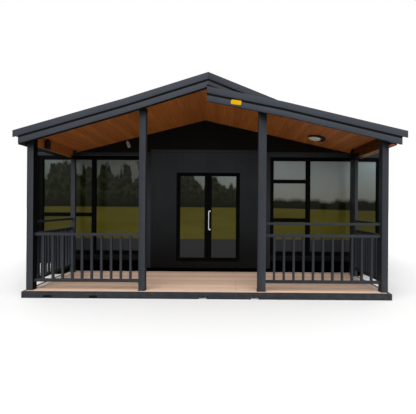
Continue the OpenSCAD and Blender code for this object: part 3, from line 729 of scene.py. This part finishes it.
def wall_joints(mesh):
    """Cover strips over the panels' joints on the side and back walls."""
    wide, proud = 0.04, 0.003
    front_in, side_bay, back_bay = 0.02, 1.42, 2.83
    beside, under, over = 0.06, 0.035, 0.055
    window_low, window_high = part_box("side_window_frames")
    holes = [(low.y - beside, high.y + beside) for low, high in islands("side_window_frames")]
    foot, top, middle = side_low.z, side_high.z - eave_gap, (side_low.y + side_high.y) / 2
    for sign in (-1, 1):
        for y in (side_low.y + front_in, side_low.y + side_bay, middle, side_high.y - side_bay):
            runs = [(foot, top)]
            if any(a < y < b for a, b in holes):
                runs = [(foot, window_low.z - under), (window_high.z + over, top)]
            for z0, z1 in runs:
                on_side(mesh, sign, y - wide / 2, y + wide / 2, z0, z1, proud)
    gable_slope = (back_high.z - side_high.z) / half_w
    for x in (-back_bay, 0.0, back_bay):
        top = back_high.z - abs(x) * gable_slope - eave_gap
        on_back(mesh, x - wide / 2, x + wide / 2, back_low.z, top, proud)


def corner_trims(mesh):
    """Angles over the two back corners and at the foot of the walls."""
    leg, proud = 0.06, 0.004
    floor_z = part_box("floor_slab")[1].z
    foot_z0, foot_z1 = floor_z - 0.05, floor_z + 0.01
    foot, top = back_low.z, side_high.z - eave_gap
    for sign in (-1, 1):
        x0, x1 = sorted((sign * (half_w - leg), sign * (half_w + proud)))
        on_back(mesh, x0, x1, foot, top, proud)
        on_side(mesh, sign, back_y - leg, back_y, foot, top, proud)
        on_side(mesh, sign, side_low.y, back_y - leg, foot_z0, foot_z1, proud)
    on_back(mesh, leg - half_w, half_w - leg, foot_z0, foot_z1, proud)


piece("wall_joints", wall_joints, "wall_panel", bevel=0.001)
piece("corner_trims", corner_trims, "steel_paint", bevel=0.0015)


def gable_laps(mesh):
    """Lapped boards across the front gable."""
    pitch, nose, out_low, out_top = 0.105, 0.006, 0.012, 0.004
    low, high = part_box("front_gable")
    slope = (high.z - side_high.z) / half_w
    section = [(0, 0), (-out_low, 0), (-out_low, nose), (-out_top, pitch), (0, pitch)]
    z = low.z
    while z + pitch < high.z:
        reach = min(half_w, (high.z - z - pitch) / slope)
        prism(mesh, section, Vector((-reach, wall_y, z)), Y, Z, X * 2 * reach)
        z += pitch


piece("gable_laps", gable_laps, "gable_panel")


sheet_t = 0.003


def front_sheet(mesh):
    """One sheet over the centre of the front wall, round the door."""
    low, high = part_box("front_wall_panels")
    door_low, door_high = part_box("front_wall_top")
    section = [(low.x, low.z), (door_low.x, low.z), (door_low.x, door_low.z), (door_high.x, door_low.z),
               (door_high.x, low.z), (high.x, low.z), (high.x, high.z), (low.x, high.z)]
    plate(mesh, section, wall_y - sheet_t, wall_y)


def front_strips(mesh):
    """Cover strips where the centre wall meets the two columns."""
    wide, proud = 0.045, 0.008
    low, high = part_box("front_wall_panels")
    for x in (low.x, high.x - wide):
        block(mesh, (x, wall_y - proud, low.z), (x + wide, wall_y - sheet_t, high.z))


def gable_flashing(mesh):
    """Kicked-out strip over the joint between the gable and the wall, on the centre and the right wing."""
    out, kick = 0.014, 0.004
    panels_low, panels_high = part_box("front_wall_panels")
    header_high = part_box("window_headers")[1]
    for x0, x1, joint_z, foot, rise in ((panels_low.x, panels_high.x, panels_high.z, 0.220, 0.014),
                                        (panels_high.x, header_high.x, header_high.z, 0.070, 0.024)):
        section = [(0, -foot), (-kick, -foot), (-out, -kick), (-out, rise), (0, rise)]
        prism(mesh, section, Vector((x0, wall_y, joint_z)), Y, Z, X * (x1 - x0))


def slab_edge(mesh):
    """Black strips that close the floor's front edge under the wings."""
    thick = 0.004
    slab_low, slab_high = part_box("floor_slab")
    panels_low, panels_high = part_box("front_wall_panels")
    for x0, x1 in ((slab_low.x, panels_low.x), (panels_high.x, slab_high.x)):
        block(mesh, (x0, slab_low.y - thick, slab_low.z), (x1, slab_low.y, slab_high.z))


piece("gable_flashing", gable_flashing, "wall_panel", paint=front_panel, bevel=0.002)
piece("slab_edge_strips", slab_edge, "black_paint", paint=shadow_black)
piece("front_sheet", front_sheet, "wall_panel", paint=front_panel)
piece("front_strips", front_strips, "wall_panel", paint=front_panel, bevel=0.002)


# ---- Roofs: ribs, edge trims and ridge screws ----
main_low, main_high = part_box("main_roof_right")
roof_t = 0.12
main_slope = (main_high.z - main_low.z - roof_t) / main_high.x


def main_top(x):
    """Height of the main roof's upper face."""
    return main_high.z - abs(x) * main_slope


def seam(mesh, start, end, foot, crest, tall):
    """Adds a standing seam, tapered from its foot to its crest."""
    section = [(-foot / 2, 0), (foot / 2, 0), (crest / 2, tall), (-crest / 2, tall)]
    prism(mesh, section, start, Y, Z, end - start)


def main_ribs(node):
    """Standing seams that run down one half of the main roof."""
    pitch, verge_in, start_x = 0.47, 0.03, 0.2
    foot, crest, tall = 0.044, 0.024, 0.026
    low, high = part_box(node)
    a, b = (start_x, high.x) if high.x > start_x else (low.x, -start_x)
    y0, y1 = low.y + verge_in, high.y - verge_in

    def build(mesh):
        for y in spaced(y0, y1, round((y1 - y0) / pitch) + 1):
            start, end = (Vector((x, y, main_top(x))) for x in (a, b))
            seam(mesh, start, end, foot, crest, tall)

    return build


for node in ("main_roof_left", "main_roof_right"):
    piece(node + "_ribs", main_ribs(node), "roof_sheet", bevel=0.002)


def edge_trims(mesh):
    """Folded trims along the main roof's verges and eaves."""
    proud, turn = 0.004, 0.018
    low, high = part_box("main_roof_right")
    bottom, top = -roof_t - turn, turn
    for sign in (-1, 1):
        u = Vector((sign, 0, -main_slope))
        section = [(0, bottom), (high.x, bottom), (high.x, top), (0, top)]
        for y in (low.y - proud, high.y):
            prism(mesh, section, Vector((0, y, main_high.z)), u, Z, Y * proud)
        x0, x1 = sorted((sign * high.x, sign * (high.x + proud)))
        eave_z = main_top(high.x)
        block(mesh, (x0, low.y, eave_z + bottom), (x1, high.y, eave_z + top))


piece("roof_edge_trims", edge_trims, "steel_paint", bevel=0.001)


def ridge_screws(mesh):
    """Screws with washers along both edges of the ridge cap."""
    count, edge_in, end_in = 14, 0.04, 0.1
    washer_r, washer_t, head_r, head_top = 0.012, 0.003, 0.007, 0.009
    profile = [(0, 0), (washer_r, 0), (washer_r, washer_t),
               (head_r, washer_t), (head_r, head_top), (0, head_top)]
    low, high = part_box("ridge_cap")
    for sign in (-1, 1):
        up = Vector((sign * main_slope, 0, 1)).normalized()
        x = sign * (high.x - edge_in)
        for y in spaced(low.y + end_in, high.y - end_in, count):
            lathe(mesh, profile, Vector((x, y, high.z - abs(x) * main_slope)), up, Y, 6)


piece("ridge_screws", ridge_screws, "bright_metal")


def porch_ribs(name, line_node, left_in, right_in, first_x=-math.inf):
    """Standing seams on one part of the porch roof, which follow the line of its fascia."""
    count, verge_in = 4, 0.12
    foot, crest, tall = 0.040, 0.022, 0.022
    points = [(x, z) for x, z in top_points(line_node) if x >= first_x]
    low, high = points[0][0] + left_in, points[-1][0] - right_in
    places = [low] + [x for x, _ in points if low < x < high] + [high]
    roof_low, roof_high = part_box("ridge_hood")

    def build(mesh):
        for y in spaced(roof_low.y + verge_in, roof_high.y - verge_in, count):
            line = [Vector((x, y, height_on(points, x))) for x in places]
            for start, end in zip(line, line[1:]):
                seam(mesh, start, end, foot, crest, tall)

    piece(name, build, "roof_sheet", bevel=0.002)


bend_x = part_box("porch_roof_right")[0].x
eave_in, ridge_in = 0.03, 0.1
porch_ribs("porch_ribs_left", "fascia_left", eave_in, ridge_in)
porch_ribs("porch_ribs_hood", "fascia_hood", ridge_in, 0.0)
porch_ribs("porch_ribs_right", "fascia_right", 0.0, eave_in, bend_x - 0.001)


def porch_ridge(mesh):
    """Folded cap along the porch ridge."""
    low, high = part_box("ridge_hood")
    wide, thick = 0.11, 0.006
    left_z = height_on(top_points("fascia_left"), low.x - wide) - high.z
    right_z = height_on(top_points("fascia_hood"), low.x + wide) - high.z
    section = [(-wide, left_z), (0, 0), (wide, right_z), (wide, right_z + thick), (0, thick),
               (-wide, left_z + thick)]
    prism(mesh, section, Vector((low.x, low.y, high.z)), X, Z, Y * (high.y - low.y))


piece("porch_ridge_cap", porch_ridge, "roof_sheet", bevel=0.001)


# ---- Porch: mouldings, brackets and linings, and black blocks and sheets painted as shadow and shade ----
def beam_moulding(mesh):
    """Small stepped moulding along the left side beam's lower inner edge."""
    wide, nose, step_z, tall, short = 0.012, 0.007, 0.008, 0.014, 0.1
    low, high = islands("side_beams")[0]
    section = [(0, 0), (wide, 0), (wide, step_z), (nose, tall), (0, tall)]
    prism(mesh, section, Vector((high.x, low.y, low.z)), X, Z, Y * (high.y - low.y - short))


def beam_slats(mesh):
    """Two slats under the right side beam, in pale wood darkened as painted shade."""
    slats, thick, front_in, back_in = ((0.0, 0.055), (0.100, 0.165)), 0.008, 0.012, 0.045
    low, high = islands("side_beams")[1]
    for a, b in slats:
        block(mesh, (low.x + a, low.y + front_in, low.z - thick), (low.x + b, high.y - back_in, low.z))


def beam_board(mesh):
    """Two boards, a joint apart, on the right side beam's inner face, in soffit wood darkened as painted
    shade.
    """
    thick, joint, lower = 0.004, 0.004, 0.112
    low, high = islands("side_beams")[1]
    for z0, z1 in ((low.z, low.z + lower), (low.z + lower + joint, ceiling_at(low.x))):
        block(mesh, (low.x - thick, low.y, z0), (low.x, high.y, z1))


piece("beam_moulding_left", beam_moulding, "soffit_wood", paint=pale_wood, bevel=0.002)
piece("beam_slats_right", beam_slats, "soffit_wood", paint=shade_painted_slat_wood, bevel=0.002)
piece("beam_board_right", beam_board, "soffit_wood", paint=shade_painted_wood)


def head_block(mesh, x0, x1, y0, y1, low_z):
    """A block under the sloping ceiling."""
    seat = 0.001
    section = [(x0, low_z), (x1, low_z), (x1, ceiling_at(x1) - seat), (x0, ceiling_at(x0) - seat)]
    plate(mesh, section, y0, y1)


# The posts' foot plates stand this far out and are this thick
plate_out, plate_t = 0.010, 0.012
liner_t = 0.003


def inner_post_shadow_blocks(mesh):
    """A black block round the head of each inner post: painted shadow of the fascia there."""
    for (low, high), drop in zip(islands("inner_posts"), (0.04, 0.05)):
        x0, x1 = low.x + plate_out - liner_t, high.x - plate_out + liner_t
        low_z = ceiling_at((x0 + x1) / 2) - drop
        head_block(mesh, x0, x1, left_low.y, high.y - plate_out + liner_t, low_z)


def left_beam_ends(mesh):
    """A bracket at the left side beam's back end, and a thin lining under the beam."""
    lap, wide, deep, below, above, front_in = 0.012, 0.08, 0.09, 0.028, 0.045, 0.012
    low, high = islands("side_beams")[0]
    block(mesh, (high.x - lap, high.y - deep, low.z - below), (high.x + wide, high.y, low.z + above))
    block(mesh, (low.x, low.y + front_in, low.z - liner_t), (high.x, high.y, low.z))


def right_beam_ends(mesh):
    """A bracket at the right side beam's back end, and another round the beam's back part."""
    low, high = islands("side_beams")[1]
    proud, lap, behind, below = 0.005, 0.04, 0.10, 0.03
    head_block(mesh, low.x - proud, high.x + proud, high.y - lap, high.y + behind, low.z - below)
    inside, outside, length, back_in, under, above = 0.008, 0.004, 0.29, 0.002, 0.012, 0.09
    block(mesh, (low.x - inside, high.y - length, low.z - under),
          (high.x + outside, high.y - back_in, low.z + above))


def outer_post_shade_liner(mesh):
    """Dark sheet on the left outer post's inner face: painted shade."""
    low, high = islands("outer_posts")[0]
    front_in, top_in = 0.002, 0.03
    face_x = high.x - plate_out
    block(mesh, (face_x, low.y + plate_out + front_in, low.z + plate_t),
          (face_x + liner_t, high.y - plate_out, high.z - top_in))


def post_heads(mesh):
    """All the dark brackets and linings at the posts, with the black blocks on the inner posts' heads as
    painted shadow and the dark sheet on the left outer post as painted shade.
    """
    for build in (inner_post_shadow_blocks, left_beam_ends, right_beam_ends, outer_post_shade_liner):
        build(mesh)


piece("post_heads", post_heads, "black_paint", bevel=0.002)


def foot_screws(mesh):
    """A screw at each corner of the posts' foot plates."""
    inset, rise = 0.006, 0.008
    for node in ("outer_posts", "inner_posts", "rear_posts"):
        for low, high in islands(node):
            for x in (low.x + inset, high.x - inset):
                for y in (low.y + inset, high.y - inset):
                    screw(mesh, Vector((x, y, low.z + rise)), 0.004, 0.002)


piece("post_foot_screws", foot_screws, "bright_metal")


def notch_shade_plates(mesh):
    """Dark plates behind the two left notches of the deck's front beam: painted shade inside the notches."""
    notch_places = (-2.813, -1.987)
    wide, tall, lift, front_in, thick = 0.15, 0.055, 0.001, 0.003, 0.006
    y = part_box("deck_frame")[0].y + front_in
    for x in notch_places:
        block(mesh, (x - wide / 2, y, lift), (x + wide / 2, y + thick, tall))


piece("notch_shade_plates", notch_shade_plates, "black_paint")


# ---- Door pull ----
def door_pull(mesh):
    """Bent round bar with a rose at each end."""
    radius, corner, steps, front_in, leaf_in = 0.009, 0.022, 6, 0.002, 0.005
    low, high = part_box("door_handle")
    x0, x1 = low.x + radius, high.x - 2.2 * radius
    y, leaf_y = low.y + radius + front_in, wall_y + leaf_in
    z0, z1 = low.z + radius, high.z - radius
    turns = [k * math.pi / 2 / steps for k in range(steps + 1)]
    lower = [(x0 + corner - corner * math.sin(t), z0 + corner - corner * math.cos(t)) for t in turns]
    upper = [(x0 + corner - corner * math.cos(t), z1 - corner + corner * math.sin(t)) for t in turns]
    tube(mesh, [Vector((x, y, z)) for x, z in [(x1, z0)] + lower + upper + [(x1, z1)]], radius)
    reach = leaf_y - y
    rose = [(0, 0), (0.019, 0), (0.019, 0.005), (0.012, 0.009),
            (0.0105, reach + radius * 0.4), (0, reach + radius)]
    for z in (z0, z1):
        lathe(mesh, rose, Vector((x1, leaf_y, z)), -Y, X, 28)


piece("door_pull", door_pull, "bright_metal", body="door_leaf_right", stands_for=["door_handle"], smooth=True)


# ---- Yellow plate: rounded corners ----
def yellow_plate(mesh):
    """Bare plate with rounded corners, turned to the fascia's slope."""
    wide, tall, corner, steps = 0.185, 0.080, 0.016, 4
    tilt = math.radians(7.5)
    low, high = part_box("yellow_plate")
    u, v = Vector((math.cos(tilt), 0, -math.sin(tilt))), Vector((math.sin(tilt), 0, math.cos(tilt)))
    outline = []
    for k, (a, b) in enumerate(((1, 1), (-1, 1), (-1, -1), (1, -1))):
        for step in range(steps + 1):
            turn = (k + step / steps) * math.pi / 2
            outline.append((a * (wide / 2 - corner) + corner * math.cos(turn),
                            b * (tall / 2 - corner) + corner * math.sin(turn)))
    start = (low + high) / 2
    start.y = low.y
    prism(mesh, outline, start, u, v, Y * (high.y - low.y))


piece("yellow_plate_rounded", yellow_plate, "yellow_paint", stands_for=["yellow_plate"], bevel=0.002)


# ---- Lamps ----
down = Vector((-ceiling_fall, 0, -1)).normalized()
lamp_side = Vector((1, 0, -ceiling_fall)).normalized()
lamp_low, lamp_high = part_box("ceiling_light")
lamp_r = (lamp_high.y - lamp_low.y) / 2
lamp_aside, lamp_seat = 0.008, 0.001
lamp_at = (lamp_low + lamp_high) / 2 + X * lamp_aside
lamp_at.z = ceiling_at(lamp_at.x) - lamp_seat


def lamp_base(mesh):
    """Black ring with a rounded edge and three screws."""
    r = lamp_r
    body = [(0, 0), (r * 0.94, 0), (r * 0.985, 0.006), (r, 0.016), (r * 0.97, 0.028), (r * 0.9, 0.038),
            (r * 0.87, 0.042), (r * 0.84, 0.040), (r * 0.83, 0.034), (0, 0.034)]
    lathe(mesh, body, lamp_at, down, lamp_side, 64)
    head = [(0, 0.03), (0.010, 0.03), (0.010, 0.044), (0.007, 0.047), (0, 0.047)]
    first_turn, screws = 0.4, 3
    for k in range(screws):
        t = first_turn + k * 2 * math.pi / screws
        spot = lamp_side * math.cos(t) + down.cross(lamp_side) * math.sin(t)
        lathe(mesh, head, lamp_at + spot * r * 0.9, down, lamp_side, 16)


def lamp_lens(mesh):
    """Shallow dome, a little off the ring's centre as in the photo."""
    r, aside, foot, rim, rise, steps = lamp_r * 0.68, 0.045, 0.030, 0.036, 0.036, 8
    turns = [k * math.pi / 2 / steps for k in range(steps)]
    dome = [(r * math.cos(t), rim + rise * math.sin(t)) for t in turns]
    profile = [(0, foot), (r, foot)] + dome + [(0, rim + rise)]
    lathe(mesh, profile, lamp_at - lamp_side * aside, down, lamp_side, 64)


piece("ceiling_light_base", lamp_base, "lamp_black", stands_for=["ceiling_light"], smooth=True)
piece("ceiling_light_lens", lamp_lens, "light_trim", paint=lens_glass, smooth=True)


def hanging_lamp(mesh):
    """Black cylinder with cooling grooves near its top, on a short stem."""
    low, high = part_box("hanging_lamp")
    grooves, groove_pitch = 5, 0.012
    r = (high.x - low.x) / 2
    drop = high.z - low.z
    top = drop - 0.028
    at = (low + high) / 2
    at.z = low.z
    rings = []
    for k in range(grooves):
        z = top - 0.035 - k * groove_pitch
        rings += [(r * 0.96, z), (r * 0.88, z - 0.002), (r * 0.88, z - 0.006), (r * 0.96, z - 0.008)]
    cap = [(0, top), (r * 0.55, top), (r * 0.55, top - 0.008), (r * 0.9, top - 0.012), (r * 0.96, top - 0.02)]
    mouth = [(r * 0.96, 0.022), (r, 0.018), (r, 0.002), (r * 0.98, 0), (r * 0.84, 0), (r * 0.8, 0.004),
             (r * 0.7, 0.03), (0, 0.03)]
    lathe(mesh, cap + rings + mouth, at, Z, X, 48)
    stem = [(0, top - 0.01), (r * 0.3, top - 0.01), (r * 0.3, drop - 0.006), (0, drop - 0.006)]
    lathe(mesh, stem, at, Z, X, 32)


piece("hanging_lamp_body", hanging_lamp, "lamp_black", stands_for=["hanging_lamp"], smooth=True)


def wall_spotlight(mesh):
    """Round wall plate, a short arm and a tilted lamp with a flared rim."""
    r, half = 0.036, 0.078
    tilt = math.radians(20)
    low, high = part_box("wall_spotlight")
    middle = (low + high) / 2
    middle.y = low.y + r
    axis, side = Vector((-math.sin(tilt), 0, math.cos(tilt))), Vector((math.cos(tilt), 0, math.sin(tilt)))
    body = [(0, -half), (r * 0.7, -half), (r * 0.8, -half - 0.001), (r * 0.97, -half), (r, -half + 0.006),
            (r * 0.98, -half + 0.04), (r * 0.94, -half + 0.045), (r * 0.94, half - 0.03),
            (r * 0.8, half - 0.006), (r * 0.6, half), (0, half)]
    lathe(mesh, body, middle, axis, side, 40)
    base = [(0, 0), (r * 0.95, 0), (r * 0.95, 0.008), (r * 0.8, 0.012), (r * 0.3, 0.013), (r * 0.3, 0.04),
            (0, 0.04)]
    lathe(mesh, base, Vector((middle.x, wall_y, middle.z)), -Y, X, 40)


piece("wall_spotlight_body", wall_spotlight, "light_trim", paint=spot_paint,
      stands_for=["wall_spotlight"], smooth=True)

# ---- Floor, sky, light and camera ----
# The floor is white where it is seen, and a warm grey for the light that it throws back
floor_seen, floor_lit, floor_reach = (0.97, 0.97, 0.97), (0.30, 0.29, 0.27), 120
floor_paint = Paint("floor", (0.9, 0.9, 0.9), 0.9)
floor_paint.colour(floor_paint.blend(floor_paint.seen(), floor_lit, floor_seen))
floor_data = bpy.data.meshes.new("floor")
floor_corners = [(a * floor_reach, b * floor_reach, 0) for a, b in ((-1, -1), (1, -1), (1, 1), (-1, 1))]
floor_data.from_pydata(floor_corners, [], [(0, 1, 2, 3)])
floor_data.materials.append(floor_paint.material)
floor = add_object("floor", floor_data)

# The sky is white where it is seen, and brighter overhead than at the horizon as a light
sky_horizon, sky_top = 0.28, 1.25
world = bpy.data.worlds.new("sky")
world.use_nodes = True
bpy.context.scene.world = world
sky = Nodes(world.node_tree, "Generated")
light_from = sky.spread(sky.axis("Z"), 0.0, 1.0, sky_horizon, sky_top)
brightness = sky.spread(sky.seen(), 0.0, 1.0, light_from, 1.0)
sky.feed(world.node_tree.nodes["Background"], Color=(1, 1, 1, 1), Strength=brightness)

# Energy, angle, tilt and turn of each light
for name, energy, angle, tilt, turn in (("sun", 1.1, 80, 46, -14), ("front_light", 1.0, 100, 82, 0)):
    light = bpy.data.lights.new(name, "SUN")
    light.energy = energy
    light.angle = math.radians(angle)
    add_object(name, light).rotation_euler = (math.radians(tilt), 0, math.radians(turn))

view_px, focal_px, sensor = 416, 292, 36
eye_x, eye_ahead, eye_z, roll = 0.347, 7.01, 1.693, -0.0072
camera_data = bpy.data.cameras.new("camera")
camera_data.sensor_width = sensor
camera_data.lens = focal_px / view_px * sensor
camera_data.shift_x, camera_data.shift_y = -0.035, -0.003
camera = add_object("camera", camera_data)
camera.location = (eye_x, wall_y - eye_ahead, eye_z)
camera.rotation_euler = (math.radians(90), roll, 0)
bpy.context.scene.camera = camera
bpy.context.scene.view_settings.view_transform = "Standard"
